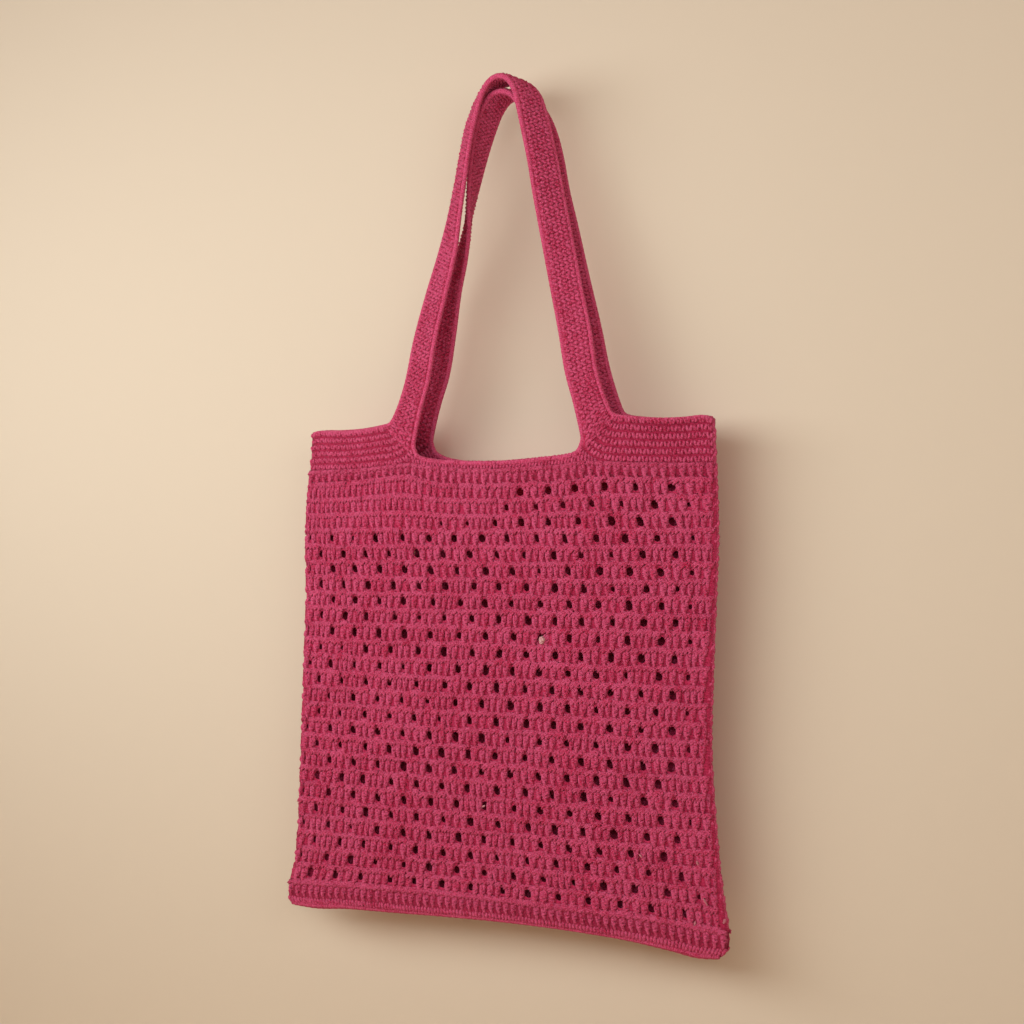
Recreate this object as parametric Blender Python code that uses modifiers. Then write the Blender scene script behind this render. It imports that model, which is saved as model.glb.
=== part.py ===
"""Crocheted tote bag, hanging empty from its two shoulder straps.

Seven pieces of yarn fabric: two openwork panels, the close-stitched bands
above them, the band that closes the bottom, and two straps.  Metres, +Z up,
the front of the bag looks along -Y.  The origin is where the straps bear on
whatever they are hung over: the underside of the back strap's arch.
"""
import math

import bpy
import numpy as np

MM = 0.001

# ---------------------------------------------------------------- sizes (mm)
FABRIC = 4.5          # thickness of the crocheted body
STRAP_THICK = 5.5     # thickness of a strap
GAP = 0.3             # clearance between neighbouring pieces
EDGE_ROUND = 1.0      # rounding of every free edge
FOLD_ROUND = 4.2      # radius of the bottom fold's middle line at the corners
ROOT_IN = 72.8        # where a strap's inner edge meets the mouth, from centre
ROOT_OUT = 98.5       # where its outer edge runs out into the shoulder

# Side edges of the hanging bag and how far each layer stands off the middle.
SIDES = {
    "z":     (-256.0, -292.0, -307.0, -345.0, -400.0, -450.0, -507.0, -560.0, -600.0, -627.0, -641.0, -650.0, -657.0, -662.0),
    "left":  (-176.5, -178.5, -180.6, -183.2, -182.8, -184.6, -186.6, -188.6, -190.6, -194.2, -198.0, -198.2, -194.5, -186.0),
    "right": (171.5, 172.8, 173.4, 174.3, 172.3, 170.2, 168.6, 171.8, 175.4, 179.4, 181.6, 182.0, 179.0, 171.0),
    "swell": (13.2, 13.2, 12.6, 11.4, 9.8, 8.4, 7.0, 5.6, 4.6, 3.8, 3.5, 3.4, 3.4, 3.4),
}

# Share of the swell across the width: none at the sides, most at the straps.
SHARE = {
    "across": (0.0, 0.20, 0.41, 0.60, 0.80, 0.92, 1.0),
    "part":   (0.86, 0.93, 1.00, 0.78, 0.40, 0.13, 0.0),
}

# Edges that run across the bag, as heights at stations from left to right.
SHOULDER_LEFT = {"x": (-180.0, -173.0, -154.0, -136.0, -115.0, -ROOT_OUT),
                 "z": (-263.5, -261.2, -261.8, -262.3, -261.1, -258.6)}
MOUTH = {"x": (-ROOT_IN, -67.0, -49.0, -28.0, 0.0, 29.0, 46.0, 60.0, 67.5, ROOT_IN),
         "z": (-282.6, -285.2, -288.6, -289.9, -290.6, -289.4, -288.2, -287.0, -285.0, -281.4)}
SHOULDER_RIGHT = {"x": (ROOT_OUT, 103.0, 121.0, 137.0, 152.0, 167.0, 174.0),
                  "z": (-257.6, -258.1, -260.1, -261.0, -260.6, -259.8, -262.0)}
BAND_FOOT = {"x": (-185.0, -157.0, -125.0, -100.0, -80.0, -67.0, -52.0, -25.0, 3.0, 54.0, 80.0, 100.0, 125.0, 178.0),
             "z": (-305.0, -305.9, -304.7, -302.8, -301.4, -303.2, -307.2, -309.2, -309.4, -308.0, -305.6, -305.8, -306.8, -307.2)}
BASE_HEAD = {"x": (-200.0, -120.0, -60.0, 0.0, 60.0, 130.0, 155.0, 184.0),
             "z": (-638.6, -634.6, -633.0, -633.0, -633.4, -634.8, -636.8, -639.6)}
BASE_FOLD = {"x": (-200.0, -178.0, -146.0, -104.0, -60.0, 16.0, 67.0, 105.0, 139.0, 166.0, 184.0),
             "z": (-659.6, -660.3, -657.8, -656.3, -654.6, -653.0, -653.8, -655.7, -659.2, -662.0, -660.6)}
# The back layer hangs a little higher, mostly at its left strap.
BACK_RISE = {"x": (-180.0, -140.0, -100.0, -78.0, -60.0, -40.0, 0.0, 60.0, 76.0, 100.0, 178.0),
             "z": (0.0, 2.6, 6.0, 6.2, 2.6, 1.2, 0.8, 1.0, 1.9, 1.6, 0.0)}

# Soft unevenness of the hanging fabric: waves per bag width and height.
RIPPLES = (
    # across, down, phase, height
    (1.3, 0.9, 0.4, 0.9),
    (2.6, -1.7, 2.1, 0.5),
    (0.7, 2.3, 4.0, 0.6),
)

# Strap sections from the left root over the top to the right root.
# turn: direction of the width, inner edge to outer edge, seen from above.
STRAP_FRONT = {
    "x":    (-71.2, -64.2, -54.6, -45.4, -40.0, -35.6, -31.0, -25.3, -17.9, -8.6, 3.0, 14.0, 21.4, 25.6, 30.8, 36.5, 41.4, 49.6, 58.2, 65.4, 72.0),
    "y":    (-14.2, -12.5, -10.7, -9.2, -8.0, -6.8, -5.8, -5.0, -4.2, -3.4, -3.0, -3.2, -3.7, -4.3, -5.2, -6.3, -7.3, -8.9, -10.8, -12.3, -13.8),
    "z":    (-228.0, -191.0, -154.0, -120.0, -92.0, -66.0, -38.0, -14.0, 2.6, 10.6, 13.2, 9.4, -0.6, -13.0, -33.0, -57.0, -82.0, -120.0, -160.0, -192.0, -227.0),
    "turn": (168.0, 163.0, 159.0, 150.0, 139.0, 134.0, 131.0, 129.0, 120.0, 104.0, 87.0, 69.0, 58.0, 52.0, 46.0, 43.0, 38.0, 26.0, 13.0, 8.0, 4.0),
    "wide": (25.5, 25.5, 25.5, 25.5, 25.5, 25.5, 25.5, 25.5, 25.5, 25.5, 25.5, 25.8, 26.2, 26.4, 26.4, 26.4, 26.2, 25.5, 25.5, 26.5, 26.5),
}
STRAP_BACK = {
    "x":    (-69.2, -60.5, -53.0, -43.4, -37.3, -33.6, -29.6, -24.3, -19.2, -12.4, -4.2, 4.6, 13.2, 20.4, 26.2, 31.4, 35.8, 39.6, 47.2, 54.9, 65.2, 71.8),
    "y":    (14.2, 12.4, 10.9, 9.5, 8.5, 8.0, 7.7, 7.4, 7.2, 6.8, 6.3, 5.9, 6.0, 6.5, 6.9, 7.1, 7.3, 7.8, 8.8, 10.2, 12.2, 13.7),
    "z":    (-222.0, -186.0, -151.0, -124.0, -102.0, -81.0, -60.0, -38.0, -22.0, -7.2, 1.4, 2.95, 0.1, -7.6, -18.0, -32.0, -50.0, -73.0, -108.0, -144.0, -188.0, -220.0),
    "turn": (176.0, 169.0, 158.0, 141.0, 125.0, 108.0, 94.0, 83.0, 76.0, 74.0, 74.0, 71.0, 64.0, 57.0, 51.0, 47.0, 44.0, 40.0, 30.0, 18.0, 8.0, 4.0),
    "wide": (25.5,) * 22,
}
# Between the narrow strap and its slanted root: share of the way down.
ROOT_ROWS = {"share": (0.42, 0.74, 1.0), "spread": (0.12, 0.50, 1.0)}

COLOUR_BODY = (0.50, 0.035, 0.115, 1.0)
COLOUR_BAND = (0.47, 0.032, 0.105, 1.0)
COLOUR_STRAP = (0.45, 0.030, 0.100, 1.0)


# ------------------------------------------------------------------ helpers
def curve(table, key, column, at):
    """Smooth value of a column at a place along the key column."""
    x = np.asarray(table[key], float)
    y = np.asarray(table[column], float)
    if x[0] > x[-1]:
        x, y = x[::-1], y[::-1]
    at = min(max(float(at), x[0]), x[-1])
    i = min(max(int(np.searchsorted(x, at)) - 1, 0), len(x) - 2)
    slope = np.gradient(y, x)
    h = x[i + 1] - x[i]
    t = (at - x[i]) / h
    return ((2 * t ** 3 - 3 * t ** 2 + 1) * y[i] + (t ** 3 - 2 * t ** 2 + t) * h * slope[i]
            + (-2 * t ** 3 + 3 * t ** 2) * y[i + 1] + (t ** 3 - t ** 2) * h * slope[i + 1])


def side_line(z):
    left = curve(SIDES, "z", "left", z)
    right = curve(SIDES, "z", "right", z)
    return (left + right) / 2, (right - left) / 2


def stand_off(u, z, layer):
    """Distance of a layer's middle surface from the plane between the layers."""
    swell = curve(SIDES, "z", "swell", z) * max(curve(SHARE, "across", "part", abs(u)), 0.0)
    wave = sum(h * math.sin(2 * math.pi * (a * u / 2 + d * (z + 260) / 400) + p + (1.1 if layer > 0 else 0.0))
               for a, d, p, h in RIPPLES)
    calm = max(0.0, 1 - abs(u) ** 3) * min(1.0, max(0.0, (z + 640.0) / 120.0))
    return GAP / 2 + FABRIC / 2 + swell + 0.8 * wave * calm


def skin(u, z, layer):
    """Point of a layer's middle surface; layer -1 is the front, +1 the back."""
    mid, half = side_line(z)
    return (mid + u * half, layer * stand_off(u, z, layer), z)


def top_height(x, layer):
    """Upper edge of the close-stitched band: shoulder, strap root, mouth."""
    def rise(at):
        return curve(BACK_RISE, "x", "z", at) if layer > 0 else 0.0

    if x <= -ROOT_OUT:
        return curve(SHOULDER_LEFT, "x", "z", x) + rise(x)
    if x >= ROOT_OUT:
        return curve(SHOULDER_RIGHT, "x", "z", x) + rise(x)
    if abs(x) < ROOT_IN:
        return curve(MOUTH, "x", "z", x) + rise(x)
    side = -1 if x < 0 else 1
    outer = (SHOULDER_LEFT["z"][-1] if side < 0 else SHOULDER_RIGHT["z"][0]) + rise(side * ROOT_OUT)
    inner = (MOUTH["z"][0] if side < 0 else MOUTH["z"][-1]) + rise(side * ROOT_IN)
    return inner + (outer - inner) * (abs(x) - ROOT_IN) / (ROOT_OUT - ROOT_IN)


def foot_height(x, layer):
    return curve(BAND_FOOT, "x", "z", x) + (0.5 * curve(BACK_RISE, "x", "z", x) if layer > 0 else 0.0)


def station(x):
    """Share of the half width that belongs to a place on the top band."""
    mid, half = side_line(-280.0)
    return (x - mid) / half


def stations():
    """Places across the bag, closer together beside the strap roots."""
    outer = list(np.linspace(1.0, 0.0, 6))
    mid, half = side_line(-280.0)
    left = [(mid - half) * k - ROOT_OUT * (1 - k) for k in outer]
    root = [-ROOT_OUT, -90.0, -81.5, -ROOT_IN, -66.5, -58.0, -46.0, -30.0, -10.0]
    right = [ROOT_OUT * (1 - k) + (mid + half) * k for k in outer[::-1]]
    return left + root[1:] + [-r for r in root[::-1][:-1]] + right


# --------------------------------------------------------------- the scene
def clear_scene():
    for obj in list(bpy.data.objects):
        bpy.data.objects.remove(obj, do_unlink=True)


def collection(name):
    col = bpy.data.collections.new(name)
    bpy.context.scene.collection.children.link(col)
    return col


def yarn_material(name, colour):
    mat = bpy.data.materials.new(name)
    mat.use_nodes = True
    bsdf = mat.node_tree.nodes["Principled BSDF"]
    bsdf.inputs["Base Color"].default_value = colour
    bsdf.inputs["Roughness"].default_value = 0.85
    bsdf.inputs["Metallic"].default_value = 0.0
    return mat


def sheet(name, cells_across, cells_along, place, thickness, material, col):
    """A grid whose vertices go where place(i, j) says, thickened both ways."""
    bpy.ops.mesh.primitive_grid_add(x_subdivisions=cells_across, y_subdivisions=cells_along, size=2.0)
    obj = bpy.context.active_object
    obj.name = name
    obj.data.name = name
    for vert in obj.data.vertices:
        i = round((vert.co.x + 1) / 2 * cells_across)
        j = round((vert.co.y + 1) / 2 * cells_along)
        vert.co = [c * MM for c in place(i, j)]
    for other in list(obj.users_collection):
        other.objects.unlink(obj)
    col.objects.link(obj)
    obj.data.materials.append(material)
    solid = obj.modifiers.new("fabric thickness", "SOLIDIFY")
    solid.thickness = thickness * MM
    solid.offset = 0.0
    solid.use_even_offset = True
    rounding = obj.modifiers.new("rounded edges", "BEVEL")
    rounding.width = EDGE_ROUND * MM
    rounding.segments = 1
    rounding.limit_method = "ANGLE"
    rounding.angle_limit = math.radians(60)
    obj.data.shade_smooth()
    return obj


# --------------------------------------------------------------- the pieces
def make_band(name, layer, material, col):
    xs = stations()
    rows = 3

    def place(i, j):
        i = i if layer < 0 else len(xs) - 1 - i
        x = xs[i]
        low = foot_height(x, layer) + GAP / 2
        high = top_height(x, layer)
        z = low + (high - low) * j / rows
        return skin(station(x), z, layer)

    return sheet(name, len(xs) - 1, rows, place, FABRIC, material, col)


def make_panel(name, layer, material, col):
    xs = stations()
    rows = 11

    def place(i, j):
        i = i if layer < 0 else len(xs) - 1 - i
        u = station(xs[i])
        high = foot_height(xs[i], layer) - GAP / 2
        mid, half = side_line(-640.0)
        low = curve(BASE_HEAD, "x", "z", mid + u * half) + GAP / 2
        z = low + (high - low) * j / rows
        return skin(u, z, layer)

    return sheet(name, len(xs) - 1, rows, place, FABRIC, material, col)


def make_base(name, material, col):
    """The band that closes the bottom: down the front, round, up the back."""
    columns, straight, bend = 18, 2, 6
    along = 2 * straight + bend

    def place(i, j):
        u = -1 + 2 * i / columns
        mid, half = side_line(-640.0)
        x = mid + u * half
        head = curve(BASE_HEAD, "x", "z", x) - GAP / 2
        fold = curve(BASE_FOLD, "x", "z", x) + FABRIC / 2
        radius = max(stand_off(u, fold + 5, -1), FOLD_ROUND)
        layer = -1
        if j < straight:
            z = head + (fold + radius - head) * j / straight
            t = j / straight
            y = -(stand_off(u, z, -1) * (1 - t) + radius * t)
        elif j <= straight + bend:
            turn = math.pi * (j - straight) / bend
            z = fold + radius - radius * math.sin(turn)
            y = -radius * math.cos(turn)
        else:
            k = along - j
            z = head + (fold + radius - head) * k / straight
            t = k / straight
            y = stand_off(u, z, 1) * (1 - t) + radius * t
        mid, half = side_line(z)
        return (mid + u * half, y, z)

    return sheet(name, columns, along, place, FABRIC, material, col)


def strap_sections(table, layer):
    """Centre, half width vector for each section, roots included."""
    rows = []
    for k in range(len(table["x"])):
        turn = math.radians(table["turn"][k])
        rows.append((np.array([table["x"][k], table["y"][k], table["z"][k]], float),
                     np.array([math.cos(turn), math.sin(turn), 0.0]) * table["wide"][k] / 2))
    for side in (-1, 1):
        inner = np.array(skin(station(side * ROOT_IN), top_height(side * ROOT_IN, layer), layer))
        outer = np.array(skin(station(side * ROOT_OUT), top_height(side * ROOT_OUT, layer), layer))
        lift = np.array([-side * (outer[2] - inner[2]), 0.0, abs(outer[0] - inner[0])])
        lift *= GAP / np.linalg.norm(lift)
        root_mid = (inner + outer) / 2 + lift
        root_half = (outer - inner) / 2
        start_mid, start_half = rows[0] if side < 0 else rows[-1]
        for share, spread in zip(ROOT_ROWS["share"], ROOT_ROWS["spread"]):
            if side < 0:
                rows.insert(0, (start_mid * (1 - share) + root_mid * share,
                                start_half * (1 - spread) + root_half * spread))
            else:
                rows.append((start_mid * (1 - share) + root_mid * share,
                             start_half * (1 - spread) + root_half * spread))
    return rows


def make_strap(name, table, layer, material, col):
    rows = strap_sections(table, layer)
    centre = np.array([r[0] for r in rows])
    half = np.array([r[1] for r in rows])
    run = np.concatenate([[0], np.cumsum(np.linalg.norm(np.diff(centre, axis=0), axis=1))])
    fine = []
    for k in range(len(run) - 1):
        steps = 2 if run[k + 1] - run[k] > 14 else 1
        fine += [run[k] + (run[k + 1] - run[k]) * s / steps for s in range(steps)]
    fine.append(run[-1])
    across = 2

    def place(i, j):
        s = fine[j]
        mid = [curve({"s": run, "c": centre[:, a]}, "s", "c", s) for a in range(3)]
        arm = [curve({"s": run, "c": half[:, a]}, "s", "c", s) for a in range(3)]
        w = 2 * i / across - 1
        return [m + w * a for m, a in zip(mid, arm)]

    return sheet(name, across, len(fine) - 1, place, STRAP_THICK, material, col)


def main():
    clear_scene()
    bag = collection("crochet_bag")
    body = yarn_material("raspberry openwork yarn", COLOUR_BODY)
    band = yarn_material("raspberry band yarn", COLOUR_BAND)
    strap = yarn_material("raspberry strap yarn", COLOUR_STRAP)
    make_panel("front_panel", -1, body, bag)
    make_panel("back_panel", 1, body, bag)
    make_band("top_band_front", -1, band, bag)
    make_band("top_band_back", 1, band, bag)
    make_base("base_band", band, bag)
    make_strap("strap_front", STRAP_FRONT, -1, strap, bag)
    make_strap("strap_back", STRAP_BACK, 1, strap, bag)


main()
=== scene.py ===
"""Looks of the crocheted tote bag: every stitch is swept yarn over a thin ground of cloth, coloured darker as painted
shade between the stitches.
"""
import math

import bpy
import numpy as np
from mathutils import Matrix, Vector


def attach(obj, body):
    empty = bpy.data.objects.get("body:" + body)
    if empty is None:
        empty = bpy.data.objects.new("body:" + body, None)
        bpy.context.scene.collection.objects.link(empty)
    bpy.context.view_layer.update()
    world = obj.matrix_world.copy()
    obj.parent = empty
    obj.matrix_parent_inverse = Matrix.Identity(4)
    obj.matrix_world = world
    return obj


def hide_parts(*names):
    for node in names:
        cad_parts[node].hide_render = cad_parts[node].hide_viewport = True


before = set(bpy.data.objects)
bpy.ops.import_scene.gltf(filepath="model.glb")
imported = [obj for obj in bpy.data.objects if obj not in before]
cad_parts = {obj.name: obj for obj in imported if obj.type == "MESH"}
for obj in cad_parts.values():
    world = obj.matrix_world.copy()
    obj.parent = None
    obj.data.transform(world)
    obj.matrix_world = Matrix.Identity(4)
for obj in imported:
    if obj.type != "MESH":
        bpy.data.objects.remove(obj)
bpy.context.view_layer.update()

MM = 0.001

# ------------------------------------------------ the bag's shape (mm), as in the solids
FABRIC, GAP = 4.5, 0.3
ROOT_IN, ROOT_OUT = 72.8, 98.5
SIDES = {
    "z":     (-256.0, -292.0, -307.0, -345.0, -400.0, -450.0, -507.0, -560.0, -600.0, -627.0, -641.0, -650.0, -657.0, -662.0),
    "left":  (-176.5, -178.5, -180.6, -183.2, -182.8, -184.6, -186.6, -188.6, -190.6, -194.2, -198.0, -198.2, -194.5, -186.0),
    "right": (171.5, 172.8, 173.4, 174.3, 172.3, 170.2, 168.6, 171.8, 175.4, 179.4, 181.6, 182.0, 179.0, 171.0),
    "swell": (13.2, 13.2, 12.6, 11.4, 9.8, 8.4, 7.0, 5.6, 4.6, 3.8, 3.5, 3.4, 3.4, 3.4),
}
SHARE = {"across": (0.0, 0.20, 0.41, 0.60, 0.80, 0.92, 1.0),
         "part":   (0.86, 0.93, 1.00, 0.78, 0.40, 0.13, 0.0)}
SHOULDER_LEFT = {"x": (-180.0, -173.0, -154.0, -136.0, -115.0, -ROOT_OUT),
                 "z": (-263.5, -261.2, -261.8, -262.3, -261.1, -258.6)}
MOUTH = {"x": (-ROOT_IN, -67.0, -49.0, -28.0, 0.0, 29.0, 46.0, 60.0, 67.5, ROOT_IN),
         "z": (-282.6, -285.2, -288.6, -289.9, -290.6, -289.4, -288.2, -287.0, -285.0, -281.4)}
SHOULDER_RIGHT = {"x": (ROOT_OUT, 103.0, 121.0, 137.0, 152.0, 167.0, 174.0),
                  "z": (-257.6, -258.1, -260.1, -261.0, -260.6, -259.8, -262.0)}
BAND_FOOT = {"x": (-185.0, -157.0, -125.0, -100.0, -80.0, -67.0, -52.0, -25.0, 3.0, 54.0, 80.0, 100.0, 125.0, 178.0),
             "z": (-305.0, -305.9, -304.7, -302.8, -301.4, -303.2, -307.2, -309.2, -309.4, -308.0, -305.6, -305.8, -306.8, -307.2)}
TALL_HEAD = {"x": (-182.0, -116.0, -95.0, -76.0, -60.0, -30.0, 0.0, 30.0, 60.0, 76.0, 95.0, 116.0, 175.0),
             "z": (-294.4, -293.8, -292.2, -291.2, -293.0, -296.2, -297.2, -296.4, -294.6, -292.6, -293.8, -294.8, -295.4)}
BASE_HEAD = {"x": (-200.0, -120.0, -60.0, 0.0, 60.0, 130.0, 155.0, 184.0),
             "z": (-638.6, -634.6, -633.0, -633.0, -633.4, -634.8, -636.8, -639.6)}
BASE_FOLD = {"x": (-200.0, -178.0, -146.0, -104.0, -60.0, 16.0, 67.0, 105.0, 139.0, 166.0, 184.0),
             "z": (-659.6, -660.3, -657.8, -656.3, -654.6, -653.0, -653.8, -655.7, -659.2, -662.0, -660.6)}
BACK_RISE = {"x": (-180.0, -140.0, -100.0, -78.0, -60.0, -40.0, 0.0, 60.0, 76.0, 100.0, 178.0),
             "z": (0.0, 2.6, 6.0, 6.2, 2.6, 1.2, 0.8, 1.0, 1.9, 1.6, 0.0)}
RIPPLES = ((1.3, 0.9, 0.4, 0.9), (2.6, -1.7, 2.1, 0.5), (0.7, 2.3, 4.0, 0.6))
STRAP_FRONT = {
    "x":    (-71.2, -64.2, -54.6, -45.4, -40.0, -35.6, -31.0, -25.3, -17.9, -8.6, 3.0, 14.0, 21.4, 25.6, 30.8, 36.5, 41.4, 49.6, 58.2, 65.4, 72.0),
    "y":    (-14.2, -12.5, -10.7, -9.2, -8.0, -6.8, -5.8, -5.0, -4.2, -3.4, -3.0, -3.2, -3.7, -4.3, -5.2, -6.3, -7.3, -8.9, -10.8, -12.3, -13.8),
    "z":    (-228.0, -191.0, -154.0, -120.0, -92.0, -66.0, -38.0, -14.0, 2.6, 10.6, 13.2, 9.4, -0.6, -13.0, -33.0, -57.0, -82.0, -120.0, -160.0, -192.0, -227.0),
    "turn": (168.0, 163.0, 159.0, 150.0, 139.0, 134.0, 131.0, 129.0, 120.0, 104.0, 87.0, 69.0, 58.0, 52.0, 46.0, 43.0, 38.0, 26.0, 13.0, 8.0, 4.0),
    "wide": (25.5, 25.5, 25.5, 25.5, 25.5, 25.5, 25.5, 25.5, 25.5, 25.5, 25.5, 25.8, 26.2, 26.4, 26.4, 26.4, 26.2, 25.5, 25.5, 26.5, 26.5),
}
STRAP_BACK = {
    "x":    (-69.2, -60.5, -53.0, -43.4, -37.3, -33.6, -29.6, -24.3, -19.2, -12.4, -4.2, 4.6, 13.2, 20.4, 26.2, 31.4, 35.8, 39.6, 47.2, 54.9, 65.2, 71.8),
    "y":    (14.2, 12.4, 10.9, 9.5, 8.5, 8.0, 7.7, 7.4, 7.2, 6.8, 6.3, 5.9, 6.0, 6.5, 6.9, 7.1, 7.3, 7.8, 8.8, 10.2, 12.2, 13.7),
    "z":    (-222.0, -186.0, -151.0, -124.0, -102.0, -81.0, -60.0, -38.0, -22.0, -7.2, 1.4, 2.95, 0.1, -7.6, -18.0, -32.0, -50.0, -73.0, -108.0, -144.0, -188.0, -220.0),
    "turn": (176.0, 169.0, 158.0, 141.0, 125.0, 108.0, 94.0, 83.0, 76.0, 74.0, 74.0, 71.0, 64.0, 57.0, 51.0, 47.0, 44.0, 40.0, 30.0, 18.0, 8.0, 4.0),
    "wide": (25.5,) * 22,
}
ROOT_ROWS = {"share": (0.42, 0.74, 1.0), "spread": (0.12, 0.50, 1.0)}

# ------------------------------------------------ how it is crocheted
ROWS = 25                 # openwork rows
COLUMNS = 14.95           # hole pitches across a panel
FIRST_HOLE, UPPER_STEP, LOWER_STEP, STEP_ROW = -312.7, 12.75, 13.4, 8
LEAN_ROWS, LEAN_STEP = 6.0, 1.2     # the top rows are pulled to the left
HOLE = 2.75               # width of an open hole between two clusters
POST = 6.15               # pitch of the posts in a cluster
BACK_SHIFT = 0.25         # the back's holes lie a quarter pitch further right
BAND_ROWS = 6             # close-stitched rows in a shoulder
STRAP_ROWS = 5            # close-stitched rows between a strap's firm edges
STRAP_EDGE = 0.74         # share of the strap's half width inside its edges
SC = 5.6                  # pitch of a close stitch
STRAP_SC = 6.2            # and in a strap
TALL = 6.9                # pitch of the tall row's posts
RIB = 6.4                 # pitch of the base band's posts


def curve(xs, ys, at):
    xs, ys = np.asarray(xs, float), np.asarray(ys, float)
    if xs[0] > xs[-1]:
        xs, ys = xs[::-1], ys[::-1]
    at = np.clip(np.asarray(at, float), xs[0], xs[-1])
    i = np.clip(np.searchsorted(xs, at) - 1, 0, len(xs) - 2)
    slope = np.gradient(ys, xs)
    h = xs[i + 1] - xs[i]
    t = (at - xs[i]) / h
    return ((2 * t ** 3 - 3 * t ** 2 + 1) * ys[i] + (t ** 3 - 2 * t ** 2 + t) * h * slope[i]
            + (-2 * t ** 3 + 3 * t ** 2) * ys[i + 1] + (t ** 3 - t ** 2) * h * slope[i + 1])


def side_line(z):
    left, right = curve(SIDES["z"], SIDES["left"], z), curve(SIDES["z"], SIDES["right"], z)
    return (left + right) / 2, (right - left) / 2


MID, HALF = (float(v) for v in side_line(-280.0))


def stand_off(u, z, layer):
    swell = curve(SIDES["z"], SIDES["swell"], z) * np.maximum(curve(SHARE["across"], SHARE["part"], np.abs(u)), 0)
    wave = sum(h * np.sin(2 * math.pi * (a * u / 2 + d * (z + 260) / 400) + p + (1.1 if layer > 0 else 0.0))
               for a, d, p, h in RIPPLES)
    calm = np.maximum(0, 1 - np.abs(u) ** 3) * np.clip((z + 640.0) / 120.0, 0, 1)
    return GAP / 2 + FABRIC / 2 + swell + 0.8 * wave * calm


def cloth(x, z, n, layer):
    """Place of a point of a layer: x as at the band, height z, n out of the middle surface."""
    x, z, n = np.broadcast_arrays(np.asarray(x, float), np.asarray(z, float), np.asarray(n, float))
    u = (x - MID) / HALF
    mid, half = side_line(z)
    e = 1.5
    ux = e / half
    d = stand_off(u, z, layer)
    dx = (stand_off(u + ux, z, layer) - stand_off(u - ux, z, layer)) / (2 * e)
    dz = (stand_off(u, z + e, layer) - stand_off(u, z - e, layer)) / (2 * e)
    size = np.sqrt(1 + dx * dx + dz * dz)
    return np.stack([mid + u * half - n * dx / size, layer * d + n * layer / size, z - n * dz / size], -1)


def rise(x, layer):
    return curve(BACK_RISE["x"], BACK_RISE["z"], x) if layer > 0 else 0.0 * np.asarray(x, float)


def top_height(x, layer):
    x = np.asarray(x, float)
    left = curve(SHOULDER_LEFT["x"], SHOULDER_LEFT["z"], x) + rise(x, layer)
    right = curve(SHOULDER_RIGHT["x"], SHOULDER_RIGHT["z"], x) + rise(x, layer)
    mouth = curve(MOUTH["x"], MOUTH["z"], x) + rise(x, layer)
    outer = np.where(x < 0, SHOULDER_LEFT["z"][-1], SHOULDER_RIGHT["z"][0]) + rise(np.sign(x) * ROOT_OUT, layer)
    inner = np.where(x < 0, MOUTH["z"][0], MOUTH["z"][-1]) + rise(np.sign(x) * ROOT_IN, layer)
    slant = inner + (outer - inner) * (np.abs(x) - ROOT_IN) / (ROOT_OUT - ROOT_IN)
    return np.where(x <= -ROOT_OUT, left, np.where(x >= ROOT_OUT, right, np.where(np.abs(x) >= ROOT_IN, slant, mouth)))


def foot_height(x, layer):
    return curve(BAND_FOOT["x"], BAND_FOOT["z"], x) + 0.5 * rise(x, layer)


def tall_height(x, layer):
    return curve(TALL_HEAD["x"], TALL_HEAD["z"], x) + 0.6 * rise(x, layer)


def head_height(x):
    """Upper line of the base band below a place on the top band's line."""
    mid, half = side_line(-640.0)
    return curve(BASE_HEAD["x"], BASE_HEAD["z"], mid + (np.asarray(x, float) - MID) / HALF * half)


# ------------------------------------------------ openwork lattice
def row_level(t):
    k = np.arange(-1, ROWS + 1)
    centre = np.where(k <= STEP_ROW, FIRST_HOLE - UPPER_STEP * k,
                      FIRST_HOLE - UPPER_STEP * STEP_ROW - LOWER_STEP * (k - STEP_ROW))
    return np.interp(t, k + 0.5, centre)


def lattice(c, t, layer):
    """Band place and height of column c (in hole pitches) at row depth t."""
    c, t = np.broadcast_arrays(np.asarray(c, float), np.asarray(t, float))
    x = MID + HALF * (2 * c / COLUMNS - 1)
    ease = np.clip(c / 1.6, 0, 1) * np.clip((COLUMNS - c) / 1.6, 0, 1)
    x = x - LEAN_STEP * np.maximum(0, LEAN_ROWS - t) * ease
    wander = 0.55 * np.sin(0.9 * t + 1.7 * layer) * np.sin(0.55 * c + 0.4 * t) + 0.4 * np.sin(0.31 * t * c + 2.0)
    x = x + wander * ease
    z = row_level(t)
    z = z + (foot_height(x, layer) - row_level(0.0)) * np.exp(-np.maximum(t, 0) / 2.0)
    z = z + (head_height(x) - row_level(float(ROWS))) * np.exp(-np.maximum(ROWS - t, 0) / 1.5)
    dip = 0.45 * np.sin(0.8 * c + 0.23 * t * t + 1.3 * layer) * np.clip(t / 2, 0, 1) * np.clip((ROWS - t) / 2, 0, 1)
    return x, z + dip


# ------------------------------------------------ swept yarn
def spread(points, count):
    points = np.asarray(points, float)
    at = np.linspace(0, len(points) - 1, count)
    keys = np.arange(len(points))
    return np.stack([curve(keys, points[:, i], at) for i in range(points.shape[1])], -1)


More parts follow.
